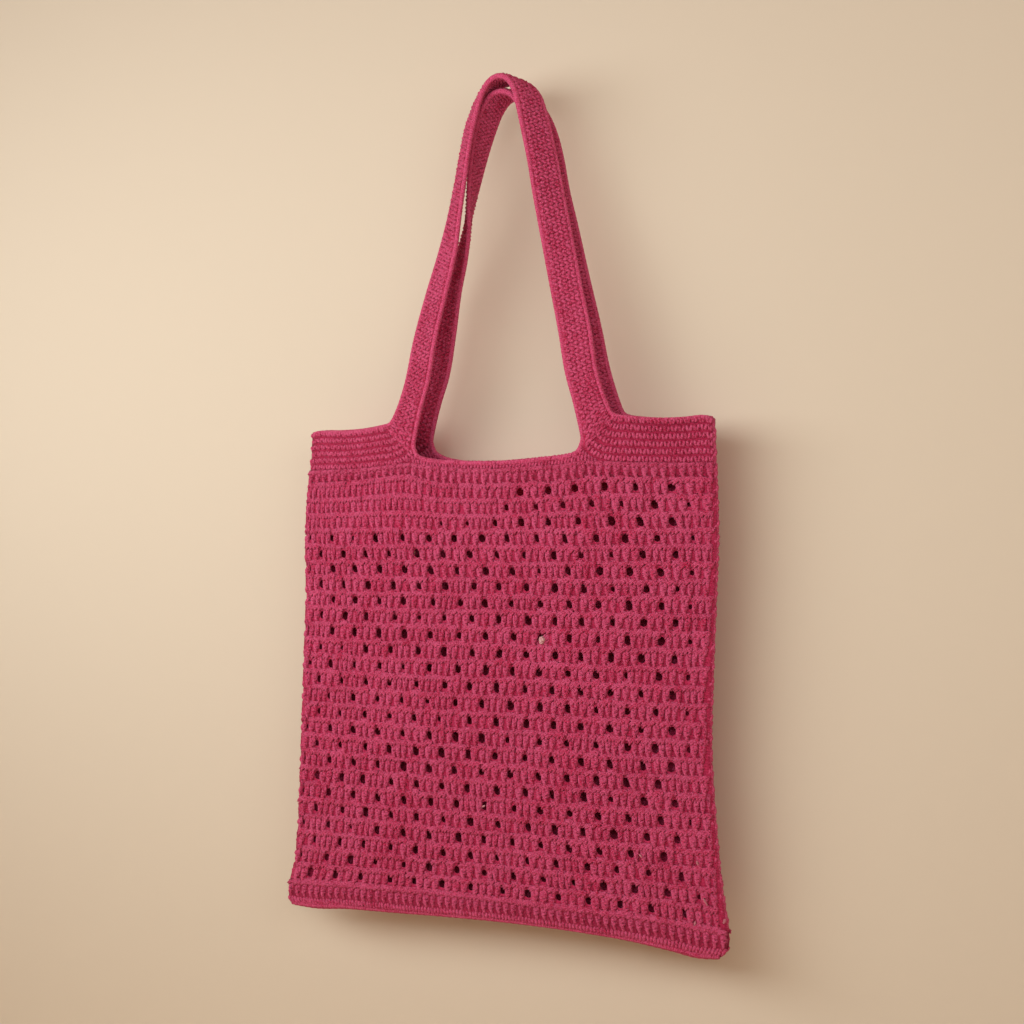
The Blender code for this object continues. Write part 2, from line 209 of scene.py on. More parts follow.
def rings(path, radius, sides, lobes=None):
    """Rings of vertices along a path, each square to it."""
    path = np.asarray(path, float)
    count = len(path)
    radius = np.broadcast_to(np.asarray(radius, float), (count,))
    tangent = np.gradient(path, axis=0)
    tangent /= np.linalg.norm(tangent, axis=1)[:, None]
    start = np.array([0.0, 0.0, 1.0]) if abs(tangent[0][2]) < 0.8 else np.array([1.0, 0.0, 0.0])
    side = np.cross(start, tangent[0])
    side /= np.linalg.norm(side)
    angle = 2 * math.pi * np.arange(sides) / sides
    out = np.empty((count, sides, 3))
    for i in range(count):
        side = side - tangent[i] * np.dot(side, tangent[i])
        side /= np.linalg.norm(side)
        up = np.cross(tangent[i], side)
        out[i] = path[i] + radius[i] * (np.cos(angle)[:, None] * side + np.sin(angle)[:, None] * up)
    run = np.concatenate([[0], np.cumsum(np.linalg.norm(np.diff(path, axis=0), axis=1))])
    return out, run


def tube(points, radius, sides, count):
    """One strand of yarn: vertices, faces and a map round and along it."""
    path = spread(points, count)
    radius = np.interp(np.linspace(0, 1, count), np.linspace(0, 1, len(np.atleast_1d(radius))), np.atleast_1d(radius))
    ring, run = rings(path, radius, sides)
    loops, starts, uv = [], [], []
    for i in range(count - 1):
        for j in range(sides):
            k = (j + 1) % sides
            starts.append(len(loops))
            loops += [i * sides + j, i * sides + k, (i + 1) * sides + k, (i + 1) * sides + j]
            uv += [(j / sides, run[i]), ((j + 1) / sides, run[i]), ((j + 1) / sides, run[i + 1]), (j / sides, run[i + 1])]
    for end, order in ((0, range(sides - 1, -1, -1)), (count - 1, range(sides))):
        starts.append(len(loops))
        loops += [end * sides + j for j in order]
        uv += [(0.5, run[end])] * sides
    return ring.reshape(-1, 3), np.array(loops), np.array(starts), np.array(uv)


def stitch(width, height, *strands):
    """Strands in a cell of the given size, as shares of the cell."""
    verts, loops, starts, uv = [], [], [], []
    base = at = 0
    for v, l, s, m in strands:
        v = v.copy()
        v[:, 0] = v[:, 0] / width + 0.5
        v[:, 1] = v[:, 1] / height
        verts.append(v)
        loops.append(l + base)
        starts.append(s + at)
        uv.append(m)
        base += len(v)
        at += len(l)
    return np.concatenate(verts), np.concatenate(loops), np.concatenate(starts), np.concatenate(uv)


class Yarn:
    """Gathers the stitches of one piece."""

    def __init__(self, place, turned=False, seed=1):
        self.place, self.turned = place, turned
        self.rng = np.random.default_rng(seed)
        self.verts, self.loops, self.starts, self.uv, self.tint = [], [], [], [], []
        self.base = self.at = 0

    def _add(self, verts, loops, starts, uv, tint, reverse):
        if reverse:
            edges = np.append(starts, len(loops))
            order = np.concatenate([np.arange(b - 1, a - 1, -1) for a, b in zip(edges[:-1], edges[1:])])
            loops, uv = loops[order], uv[order]
        return verts, loops, starts, uv, tint

    def work(self, template, cells, out=1.0, lift=0.0, loose=1.0, units=(1.0, 1.0)):
        """Puts the stitch into every cell: corners low left, low right, high left, high right."""
        v, loops, starts, uv = template
        cells = np.asarray(cells, float)
        if not len(cells):
            return
        count = len(cells)
        rng = self.rng
        a, b = v[:, 0][None, :], v[:, 1][None, :]
        swell = 1 + loose * rng.normal(0, 0.045, (count, 1))
        lean = loose * rng.normal(0, 0.035, (count, 1))
        a = (a - 0.5) * swell + 0.5 + lean * (b - 0.5)
        weight = ((1 - a) * (1 - b), a * (1 - b), (1 - a) * b, a * b)
        flat = sum(w[..., None] * cells[:, k][:, None, :] for k, w in enumerate(weight))
        flat = flat + loose * rng.normal(0, 0.16, (count, 1, 2)) * np.array(units)
        n = v[:, 2][None, :] * out * swell + lift + loose * rng.normal(0, 0.12, (count, 1))
        points = self.place(flat[..., 0], flat[..., 1], n)
        reverse = self.turned != (out < 0)
        _, l1, s1, u1, _ = self._add(None, loops, starts, uv, None, reverse)
        size = v.shape[0]
        self.verts.append(points.reshape(-1, 3))
        self.loops.append((l1[None, :] + (np.arange(count) * size)[:, None]).ravel() + self.base)
        self.starts.append((s1[None, :] + (np.arange(count) * len(l1))[:, None]).ravel() + self.at)
        slip = rng.uniform(0, 9, (count, 1, 1)) * np.array([0.0, 1.0])
        self.uv.append((u1[None] + slip).reshape(-1, 2))
        self.tint.append(np.repeat(rng.normal(0, 1, count), size))
        self.base += count * size
        self.at += count * len(l1)

    def cord(self, points, radius, sides=8, pitch=5.9, bead=0.05, tint=0.6):
        """A long strand through points in space."""
        points = np.asarray(points, float)
        ring, run = rings(points, np.ones(len(points)), sides)
        size = np.broadcast_to(np.asarray(radius, float), (len(points),)) * (1 + bead * np.cos(2 * math.pi * run / pitch))
        ring = points[:, None] + (ring - points[:, None]) * size[:, None, None]
        count = len(points)
        loops, uv = [], []
        i = np.repeat(np.arange(count - 1), sides)
        j = np.tile(np.arange(sides), count - 1)
        k = (j + 1) % sides
        loops = np.stack([i * sides + j, i * sides + k, (i + 1) * sides + k, (i + 1) * sides + j], -1).ravel()
        uv = np.stack([np.stack([j / sides, run[i]], -1), np.stack([(j + 1) / sides, run[i]], -1),
                       np.stack([(j + 1) / sides, run[i + 1]], -1), np.stack([j / sides, run[i + 1]], -1)], 1).reshape(-1, 2)
        starts = np.arange(0, len(loops), 4)
        ends = np.concatenate([np.arange(sides - 1, -1, -1), (count - 1) * sides + np.arange(sides)])
        starts = np.concatenate([starts, [len(loops), len(loops) + sides]])
        uv = np.concatenate([uv, np.repeat([[0.5, 0.0], [0.5, run[-1]]], sides, axis=0)])
        loops = np.concatenate([loops, ends])
        self.verts.append(ring.reshape(-1, 3))
        self.loops.append(loops + self.base)
        self.starts.append(starts + self.at)
        self.uv.append(uv)
        self.tint.append(np.full(count * sides, float(tint)))
        self.base += count * sides
        self.at += len(loops)

    def twist(self, points, radius, apart, sides=5, pitch=9.0):
        """Two strands wound round each other along a line through points in space."""
        points = np.asarray(points, float)
        ring, run = rings(points, np.ones(len(points)), 4)
        side, up = ring[:, 0] - points, ring[:, 1] - points
        for start in (0.0, math.pi):
            turn = start + 2 * math.pi * run / pitch
            self.cord(points + apart * (np.cos(turn)[:, None] * side + np.sin(turn)[:, None] * up), radius, sides, pitch, 0.0)

    def piece(self, name, material):
        return make_piece(name, np.concatenate(self.verts), np.concatenate(self.loops), np.concatenate(self.starts),
                          np.concatenate(self.uv), np.concatenate(self.tint), material)


def make_piece(name, verts, loops, starts, uv, tint, material):
    mesh = bpy.data.meshes.new(name)
    mesh.vertices.add(len(verts))
    mesh.vertices.foreach_set("co", (np.asarray(verts) * MM).astype(np.float32).ravel())
    mesh.loops.add(len(loops))
    mesh.loops.foreach_set("vertex_index", loops.astype(np.int32))
    mesh.polygons.add(len(starts))
    mesh.polygons.foreach_set("loop_start", starts.astype(np.int32))
    mesh.uv_layers.new(name="yarn").data.foreach_set("uv", (np.asarray(uv) * [1.0, 0.1]).astype(np.float32).ravel())
    mesh.attributes.new("tint", "FLOAT", "POINT").data.foreach_set("value", tint.astype(np.float32))
    mesh.update(calc_edges=True)
    mesh.polygons.foreach_set("use_smooth", np.ones(len(starts), bool))
    mesh.materials.append(material)
    obj = bpy.data.objects.new(name, mesh)
    bpy.context.scene.collection.objects.link(obj)
    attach(obj, "root")
    return obj


def ground(name, points, keep, thickness, material, seed):
    """A thin sheet from a grid of points; keep says which cells are cloth."""
    rows, cols = points.shape[:2]
    grid = np.arange(rows * cols).reshape(rows, cols)
    quads = np.stack([grid[:-1, :-1], grid[:-1, 1:], grid[1:, 1:], grid[1:, :-1]], -1)[keep]
    used, where = np.unique(quads.ravel(), return_inverse=True)
    verts = points.reshape(-1, 3)[used]
    rr, cc = np.divmod(used, cols)
    uv = np.stack([cc / 4.0, rr * 3.0], -1)[where.ravel()]
    tint = np.random.default_rng(seed).normal(0, 0.6, len(verts))
    obj = make_piece(name, verts, where.ravel(), np.arange(0, quads.size, 4), uv, tint, material)
    solid = obj.modifiers.new("thickness", "SOLIDIFY")
    solid.thickness = thickness * MM
    solid.offset = 0.0
    return obj


# stitches, in mm: across, up, out of the cloth
def post_stitch(width, height, sides=5, steps=6, wraps=1, radius=1.5, apart=1.3):
    """A tall stitch: two strands wound round each other, and the yarn-overs across them."""
    share = np.linspace(0, 1, 6)
    strands = []
    for start in (0.0, math.pi):
        turn = math.radians(205) + start + share * math.radians(215)
        ease = 1 - 0.6 * (2 * share - 1) ** 4
        path = np.stack([apart * np.cos(turn) * ease, -0.3 + share * (height + 0.5), 0.7 + 0.95 * np.sin(turn) - 1.3 * (2 * share - 1) ** 6], -1)
        strands.append(tube(path, [0.85 * radius, 0.95 * radius, 1.03 * radius, 0.95 * radius, 0.85 * radius], sides, steps))
    for i in range(wraps):
        up = (0.40 + 0.24 * i) * height
        lean = 1.0 if i % 2 == 0 else -0.7
        strands.append(tube([(-2.2, up - 1.2 * lean, 0.0), (-0.9, up - 0.6 * lean, 2.2), (0.9, up + 0.5 * lean, 2.3), (2.2, up + 1.2 * lean, 0.0)],
                            [0.8, 1.0, 1.0, 0.8], 4, 4))
    return stitch(width, height, *strands)


def top_stitch(width, height, sides=4, steps=5, loops=4):
    """The chain along the top of a tall stitch, and the hooks of the stitch above round it."""
    w, h = width, height
    strands = [
        tube([(-0.62 * w, 0.10 * h, 0.5), (-0.36 * w, 0.42 * h, 1.9), (-0.04 * w, 0.72 * h, 2.4), (0.26 * w, 0.40 * h, 2.0), (0.50 * w, 0.04 * h, 0.6)],
             [0.95, 1.1, 1.15, 1.1, 0.95], sides, steps),
        tube([(-0.46 * w, 0.98 * h, 0.6), (-0.20 * w, 0.72 * h, 1.6), (0.16 * w, 0.94 * h, 1.8), (0.56 * w, 0.66 * h, 0.6)],
             [0.95, 1.05, 1.05, 0.95], sides, steps),
        tube([(-0.44 * w, -0.30 * h, 0.5), (-0.24 * w, 0.14 * h, 2.0), (-0.04 * w, 0.46 * h, 1.8), (0.06 * w, 0.92 * h, 0.5)],
             [0.9, 1.05, 1.05, 0.9], sides, 4),
        tube([(0.04 * w, -0.32 * h, 0.4), (0.24 * w, 0.06 * h, 1.8), (0.40 * w, 0.44 * h, 1.8), (0.56 * w, 0.96 * h, 0.5)],
             [0.9, 1.0, 1.0, 0.9], sides, 4),
    ]
    return stitch(width, height, *strands[:loops])


def chain_stitch(width, height, sides=4, steps=4):
    """One free chain over a hole."""
    return stitch(width, height,
                  tube([(-0.75 * width, 0.1 * height, 0.2), (0.0, 0.55 * height, 1.5), (0.75 * width, 0.1 * height, 0.2)], [0.9, 1.05, 0.9], sides, steps),
                  tube([(-0.70 * width, 0.8 * height, 0.1), (0.0, 1.05 * height, 0.9), (0.70 * width, 0.8 * height, 0.1)], [0.85, 0.95, 0.85], sides, steps))


def close_stitch(width, height, radius=1.4, sides=5, steps=5, slant=0.05, margin=0.06, sink=-0.9, ends=0.78):
    """A short stitch: the two legs of a V, sunk at both ends."""
    legs = []
    for side in (-1, 1):
        x = side * 0.25 * width
        tip = side * slant * width
        bend = margin + 0.27 * (1 - 2 * margin)
        legs.append(tube([(x - tip, margin * height, sink), (x - 0.6 * tip, bend * height, 1.0),
                          (x + 0.5 * tip, (1 - bend) * height, 1.1), (x + tip, (1 - margin) * height, sink)],
                         [ends * radius, radius, 1.03 * radius, ends * radius], sides, steps))
    return stitch(width, height, *legs)


# ------------------------------------------------ materials
def yarn_material(name, dark, light, rough=0.82):
    mat = bpy.data.materials.new(name)
    mat.use_nodes = True
    nodes, links = mat.node_tree.nodes, mat.node_tree.links
    bsdf = nodes["Principled BSDF"]
    bsdf.inputs["Roughness"].default_value = rough
    bsdf.inputs["Specular IOR Level"].default_value = 0.16
    bsdf.inputs["Sheen Weight"].default_value = 0.22
    bsdf.inputs["Sheen Roughness"].default_value = 0.45
    bsdf.inputs["Sheen Tint"].default_value = (1.0, 0.42, 0.60, 1.0)
    coord = nodes.new("ShaderNodeTexCoord")
    uv = nodes.new("ShaderNodeUVMap")
    uv.uv_map = "yarn"
    split = nodes.new("ShaderNodeSeparateXYZ")
    links.new(uv.outputs["UV"], split.inputs[0])
    # plies: two ridges wound round the strand, also painted into the colour as shade in the grooves
    turn = nodes.new("ShaderNodeMath")
    turn.operation = "MULTIPLY_ADD"
    turn.inputs[1].default_value = 2.9
    links.new(split.outputs["Y"], turn.inputs[0])
    links.new(split.outputs["X"], turn.inputs[2])
    ply = nodes.new("ShaderNodeMath")
    ply.operation = "MULTIPLY"
    ply.inputs[1].default_value = 2 * math.pi * 2
    links.new(turn.outputs[0], ply.inputs[0])
    wave = nodes.new("ShaderNodeMath")
    wave.operation = "SINE"
    links.new(ply.outputs[0], wave.inputs[0])
    # fibres
    fibre = nodes.new("ShaderNodeTexNoise")
    fibre.inputs["Scale"].default_value = 640.0
    fibre.inputs["Detail"].default_value = 4.0
    fibre.inputs["Roughness"].default_value = 0.72
    fibre.inputs["Distortion"].default_value = 0.8
    links.new(coord.outputs["Object"], fibre.inputs["Vector"])
    patch = nodes.new("ShaderNodeTexNoise")
    patch.inputs["Scale"].default_value = 26.0
    patch.inputs["Detail"].default_value = 3.0
    links.new(coord.outputs["Object"], patch.inputs["Vector"])
    tint = nodes.new("ShaderNodeAttribute")
    tint.attribute_name = "tint"
    # share of the lighter colour: fibres, plies (painted shade in their grooves), patches, stitch by stitch (painted
    # shade on parts of the back strap and on the fold cords)
    total = nodes.new("ShaderNodeMath")
    total.operation = "MULTIPLY_ADD"
    total.inputs[1].default_value = 2.6
    total.inputs[2].default_value = -0.90
    links.new(fibre.outputs["Fac"], total.inputs[0])
    # painted shade and highlight: the ply wave darkens the colour in the grooves and lightens it on the ridges
    add_ply = nodes.new("ShaderNodeMath")
    add_ply.operation = "MULTIPLY_ADD"
    add_ply.inputs[1].default_value = 0.14
    links.new(wave.outputs[0], add_ply.inputs[0])
    links.new(total.outputs[0], add_ply.inputs[2])
    add_tint = nodes.new("ShaderNodeMath")
    add_tint.operation = "MULTIPLY_ADD"
    add_tint.inputs[1].default_value = 0.10
    links.new(tint.outputs["Fac"], add_tint.inputs[0])
    links.new(add_ply.outputs[0], add_tint.inputs[2])
    add_patch = nodes.new("ShaderNodeMath")
    add_patch.operation = "MULTIPLY_ADD"
    add_patch.inputs[1].default_value = 0.55
    links.new(patch.outputs["Fac"], add_patch.inputs[0])
    links.new(add_tint.outputs[0], add_patch.inputs[2])
    # painted highlights: loose fibre ends catching the light, as light flecks in the colour
    glint = nodes.new("ShaderNodeTexNoise")
    glint.inputs["Scale"].default_value = 760.0
    glint.inputs["Detail"].default_value = 1.0
    links.new(coord.outputs["Object"], glint.inputs["Vector"])
    peak = nodes.new("ShaderNodeMath")
    peak.operation = "POWER"
    peak.inputs[1].default_value = 6.0
    links.new(glint.outputs["Fac"], peak.inputs[0])
    add_glint = nodes.new("ShaderNodeMath")
    add_glint.operation = "MULTIPLY_ADD"
    add_glint.inputs[1].default_value = 5.0
    links.new(peak.outputs[0], add_glint.inputs[0])
    links.new(add_patch.outputs[0], add_glint.inputs[2])
    ramp = nodes.new("ShaderNodeValToRGB")
    ramp.color_ramp.elements[0].position = 0.25
    ramp.color_ramp.elements[0].color = dark
    ramp.color_ramp.elements[1].position = 1.0
    ramp.color_ramp.elements[1].color = light
    links.new(add_glint.outputs[0], ramp.inputs[0])
    links.new(ramp.outputs[0], bsdf.inputs["Base Color"])
    bump = nodes.new("ShaderNodeBump")
    bump.inputs["Strength"].default_value = 0.55
    bump.inputs["Distance"].default_value = 0.0006
    links.new(wave.outputs[0], bump.inputs["Height"])
    fuzz = nodes.new("ShaderNodeBump")
    fuzz.inputs["Strength"].default_value = 0.8
    fuzz.inputs["Distance"].default_value = 0.0014
    links.new(fibre.outputs["Fac"], fuzz.inputs["Height"])
    links.new(bump.outputs["Normal"], fuzz.inputs["Normal"])
    links.new(fuzz.outputs["Normal"], bsdf.inputs["Normal"])
    return mat


body_yarn = yarn_material("openwork yarn", (0.52, 0.0110, 0.067, 1.0), (0.72, 0.100, 0.237, 1.0))
band_yarn = yarn_material("band yarn", (0.43, 0.0095, 0.056, 1.0), (0.72, 0.097, 0.232, 1.0))
strap_yarn = yarn_material("strap yarn", (0.48, 0.0108, 0.064, 1.0), (0.74, 0.100, 0.240, 1.0))
# painted shade: the ground sheets are darker than the yarn, for the shade in the gaps between the stitches
painted_shade_ground = yarn_material("ground yarn", (0.22, 0.005, 0.028, 1.0), (0.44, 0.022, 0.080, 1.0), 0.9)
painted_shade_strap_ground = yarn_material("strap ground yarn", (0.34, 0.008, 0.044, 1.0), (0.60, 0.040, 0.125, 1.0), 0.9)
painted_shade_openwork_ground = yarn_material("openwork ground yarn", (0.38, 0.008, 0.048, 1.0), (0.60, 0.036, 0.122, 1.0), 0.9)


def on_layer(layer):
    return lambda x, z, n: cloth(x, z, n, layer)


# ------------------------------------------------ openwork panels
def hole_row(k, layer, rng):
    """Columns of a row's holes and how open each is."""
    first = 0.75 if k % 2 == 0 else 0.25
    if layer > 0:
        first = (first + BACK_SHIFT) % 1.0
    columns = np.arange(first, COLUMNS, 1.0)
    x, _ = lattice(columns, k + 0.5, layer)
    size = rng.uniform(0.75, 1.20, len(columns))
    size = np.where(rng.random(len(columns)) < 0.12, size * 0.6, size)
    columns = columns + rng.normal(0, 0.034, len(columns))
    size = np.where(columns < 0.4, 0.30, size)
    size = np.where(columns > COLUMNS - 0.4, 0.0, size)
    if k == 0:
        size = np.where(x < 10, 0.0, size)
    if k == 1:
        size = np.where(x < 0, 0.0, size)
    if k == 2:
        size = np.where(x < -8, 0.38, size)
        size = np.where(x < -70, 0.0, size)
    if layer < 0:
        size = np.where(x > 152, size * 0.35, size)
    else:
        size = size * (0.8 if k > 2 else 0.0)
    return columns, size


def openwork(layer, post_yarn, top_yarn, post, top, chain):
    rng = np.random.default_rng(40 + layer)
    pitch = 2 * HALF / COLUMNS
    posts, tops, chains, holes = [], [], [], []
    for k in range(ROWS):
        columns, size = hole_row(k, layer, rng)
        holes.append((columns, size))
        bounds = [(0.08, 0.0)] + list(zip(columns, size)) + [(COLUMNS - 0.08, 0.0)]
        for column, s in zip(columns, size):
            if s > 0.2:
                half = s * HOLE / 2 / pitch
                chains.append(((column - half, k + 0.10), (column + half, k + 0.10), (column - half, k - 0.08), (column + half, k - 0.08)))
        for (c0, s0), (c1, s1) in zip(bounds[:-1], bounds[1:]):
            lo = c0 + s0 * HOLE / 2 / pitch
            hi = c1 - s1 * HOLE / 2 / pitch
            span = (hi - lo) * pitch
            if span < 2.5:
                continue
            count = max(1, int(round(span / POST)))
            step = (hi - lo) / count
            centre = (lo + hi) / 2
            fan = 0.10 * min(1.0, 0.5 * (s0 + s1)) if count > 1 else 0.0
            for i in range(count):
                c = lo + (i + 0.5) * step
                low = centre + (c - centre) * (1 - 0.9 * fan) + rng.normal(0, 0.014)
                high = centre + (c - centre) * (1 - 0.3 * fan) + rng.normal(0, 0.014)
                half_low, half_high = step * 0.46, step * 0.50
                away = abs(i - (count - 1) / 2) / max(1, (count - 1) / 2) if count > 1 else 0.0
                arch = 0.055 * (1 - 2 * away) * min(1.0, 0.5 * (s0 + s1))
                foot = k + 1.10 if k < ROWS - 1 else k + 1.24
                posts.append(((low - half_low, foot), (low + half_low, foot),
                              (high - half_high, k + 0.08 - arch), (high + half_high, k + 0.08 - arch)))
                tops.append(((high - half_high, k + 0.20 - arch), (high + half_high, k + 0.20 - arch),
                             (high - half_high, k - 0.13 - arch), (high + half_high, k - 0.13 - arch)))
    count = int(round((COLUMNS - 0.36) * pitch / POST))
    step = (COLUMNS - 0.36) / count
    for i in range(count):
        left, right = 0.18 + i * step, 0.18 + (i + 1) * step
        tops.append(((left, ROWS + 0.21), (right, ROWS + 0.21), (left, ROWS - 0.12), (right, ROWS - 0.12)))
    for yarn, template, cells in ((post_yarn, post, posts), (top_yarn, top, tops), (top_yarn, chain, chains)):
        cells = np.array(cells)
        x, z = lattice(cells[..., 0], cells[..., 1], layer)
        yarn.work(template, np.stack([x, z], -1), loose=1.6)
    return holes


def panel_ground(name, layer, holes):
    per, cuts = 4, 4
    cols = int(math.floor(COLUMNS * per))
    c = np.broadcast_to(np.append(np.arange(cols + 1) / per, COLUMNS), (ROWS * cuts + 1, cols + 2)).copy()
    t = np.broadcast_to((np.arange(ROWS * cuts + 1) / cuts)[:, None], c.shape).copy()
    t[-1] += 0.16
    wide, tall = (0.040, 0.090), (0.09, 0.175)
    if layer > 0:
        wide, tall = (0.025, 0.070), (0.08, 0.12)
    keep = np.ones((ROWS * cuts, cols + 1), bool)
    rng = np.random.default_rng(60 + layer)
    for k, (columns, size) in enumerate(holes):
        for column, s in zip(columns, size):
            i = int(round(column * per))
            if s < 0.25 or i < 1:
                continue
            keep[k * cuts + 1:k * cuts + 3, i - 1:i + 1] = False
            for dr in (-1, 0, 1):
                for dc in (-1, 0, 1):
                    angle = math.atan2(dr, dc)
                    swell = 0 if dr == dc == 0 else 1
                    c[k * cuts + 2 + dr, i + dc] = column + (wide[0] + wide[1] * s) * swell * math.cos(angle)
                    t[k * cuts + 2 + dr, i + dc] = k + 0.5 + (tall[0] + tall[1] * s) * swell * math.sin(angle)
    x, z = lattice(c, t, layer)
    points = cloth(x, z, -0.35, layer)
    if layer > 0:
        points, keep = points[:, ::-1], keep[:, ::-1]
    area = np.linalg.norm(np.cross(points[1:, :-1] - points[:-1, :-1], points[:-1, 1:] - points[:-1, :-1]), axis=-1)[keep].sum() * 1e-6
    return ground(name, points[::-1], keep[::-1], 1.2, painted_shade_openwork_ground, 5), float(area)


for side, layer, full in (("front", -1, True), ("back", 1, False)):
    post = post_stitch(POST, 13.4, 5 if full else 4, 5, wraps=2 if full else 0)
    top = top_stitch(POST, 4.4, 4, 5 if full else 4, 4 if full else 2)
    chain = chain_stitch(HOLE, 2.4)
    posts = Yarn(on_layer(layer), turned=layer > 0, seed=11 + layer)
    tops = Yarn(on_layer(layer), turned=layer > 0, seed=21 + layer)
    holes = openwork(layer, posts, tops, post, top, chain)
    stitches = [posts.piece(side + "_openwork_posts", body_yarn), tops.piece(side + "_openwork_tops", body_yarn)]
    sheet, area = panel_ground(side + "_openwork_ground", layer, holes)
    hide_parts(side + "_panel")


# ------------------------------------------------ top bands
def bezier(p, t):
    p = np.asarray(p, float)
    t = np.asarray(t, float)[:, None]
    return (1 - t) ** 3 * p[0] + 3 * (1 - t) ** 2 * t * p[1] + 3 * (1 - t) * t ** 2 * p[2] + t ** 3 * p[3]


def shoulder_line(r, side, layer):
    """Line r of the shoulder's rows: along the shoulder, then round into the strap's root."""
    edge = MID + side * HALF
    turn_x = side * 106.0
    xs = np.linspace(edge, turn_x, 24)
    top, low = top_height(xs, layer), tall_height(xs, layer)
    flat = np.stack([xs, top + (low - top) * r / BAND_ROWS], -1)
    outer = np.array([side * ROOT_OUT, float(top_height(side * ROOT_OUT, layer))])
    inner = np.array([side * ROOT_IN, float(top_height(side * ROOT_IN, layer))])
    root = outer + (inner - outer) * r / BAND_ROWS
    up = np.array([-side * 0.42, 0.91])
    reach = 1.5 + 1.35 * r
    run = abs(turn_x - root[0])
    arc = bezier([flat[-1], flat[-1] + [-side * 0.5 * run, 0.0], root - up * reach, root], np.linspace(0, 1, 15))
    return flat, arc


def walk(line, count):
    """Places at even distances along a line."""
    run = np.concatenate([[0], np.cumsum(np.linalg.norm(np.diff(line, axis=0), axis=1))])
    at = np.linspace(0, run[-1], count)
    return np.stack([np.interp(at, run, line[:, 0]), np.interp(at, run, line[:, 1])], -1)


def length(line):
    return float(np.linalg.norm(np.diff(line, axis=0), axis=1).sum())


def strip_cells(low, high, pitch, rightward=True):
    count = max(2, int(round((length(low) + length(high)) / 2 / pitch)))
    a, b = walk(low, count + 1), walk(high, count + 1)
    cells = np.stack([a[:-1], a[1:], b[:-1], b[1:]], 1)
    return cells if rightward else cells[:, [1, 0, 3, 2]]


def band(side_name, layer, full):
    sc = close_stitch(SC, 5.7, 1.34, 5 if full else 4, slant=0.08, margin=0.20, sink=-0.7, ends=0.78)
    post = post_stitch(TALL, 11.5, 5, 6, 2 if full else 1, radius=1.55, apart=1.35)
    top = top_stitch(TALL, 3.2, 4, 5, 3 if full else 2)
    yarn = Yarn(on_layer(layer), turned=layer > 0, seed=31 + layer)
    for side in (-1, 1):
        lines = [shoulder_line(r, side, layer) for r in range(BAND_ROWS + 1)]
        for r in range(BAND_ROWS):
            for part in (0, 1):
                cells = strip_cells(lines[r + 1][part], lines[r][part], SC, rightward=side < 0)
                if r % 2:
                    cells = cells + np.array([0.25 * SC, 0.0])
                    cells[..., 0] = np.clip(cells[..., 0], MID - HALF + 0.5, MID + HALF - 0.5)
                yarn.work(sc, cells, lift=0.3, loose=0.4)
                yarn.work(sc, cells, out=-1.0, lift=-0.3, loose=0.4)
    # two thin rows under the mouth, running out under the straps
    xs = np.linspace(-96, 96, 90)
    ends = {side: shoulder_line(BAND_ROWS, side, layer)[1] for side in (-1, 1)}
    head = []
    for x in xs:
        if abs(x) <= ROOT_IN:
            head.append(float(top_height(x, layer)))
        else:
            line = ends[1 if x > 0 else -1]
            order = np.argsort(line[:, 0])
            head.append(float(np.interp(x, line[order, 0], line[order, 1])))
    head = np.array(head)
    low = tall_height(xs, layer)
    head = np.maximum(head, low + 0.6)
    thin = close_stitch(SC, 3.6, 1.25, 4, 5)
    for i in range(2):
        a = np.stack([xs, low + (head - low) * i / 2], -1)
        b = np.stack([xs, low + (head - low) * (i + 1) / 2], -1)
        cells = strip_cells(a, b, SC)
        cells = cells[(cells[:, 2, 1] - cells[:, 0, 1]) > 1.1]
        yarn.work(thin, cells)
        yarn.work(thin, cells, out=-1.0)
    # the tall row
    xs = np.linspace(MID - HALF, MID + HALF, 120)
    a = np.stack([xs, foot_height(xs, layer) - 0.4], -1)
    b = np.stack([xs, tall_height(xs, layer) - 0.8], -1)
    yarn.work(post, strip_cells(a, b, TALL))
    c = np.stack([xs, tall_height(xs, layer) - 2.8], -1)
    d = np.stack([xs, tall_height(xs, layer) + 0.3], -1)
    yarn.work(top, strip_cells(c, d, TALL))
    stitches = yarn.piece("band_" + side_name + "_yarn", band_yarn)
    mid_xs = np.unique(np.concatenate([np.linspace(MID - HALF + 1, MID + HALF - 1, 90), [-ROOT_OUT, -ROOT_IN, ROOT_IN, ROOT_OUT]]))
    share = np.linspace(0, 1, 9)[:, None]
    low, high = foot_height(mid_xs, layer) + 0.4, top_height(mid_xs, layer) - 1.2
    z = low + (high - low) * share
    points = cloth(np.broadcast_to(mid_xs, z.shape), z, 0.0, layer)
    if layer > 0:
        points = points[:, ::-1]
    sheet = ground("band_" + side_name + "_ground", points, np.ones((z.shape[0] - 1, z.shape[1] - 1), bool), 1.5, painted_shade_ground, 6)
    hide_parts("top_band_" + side_name)


band("front", -1, True)
band("back", 1, False)


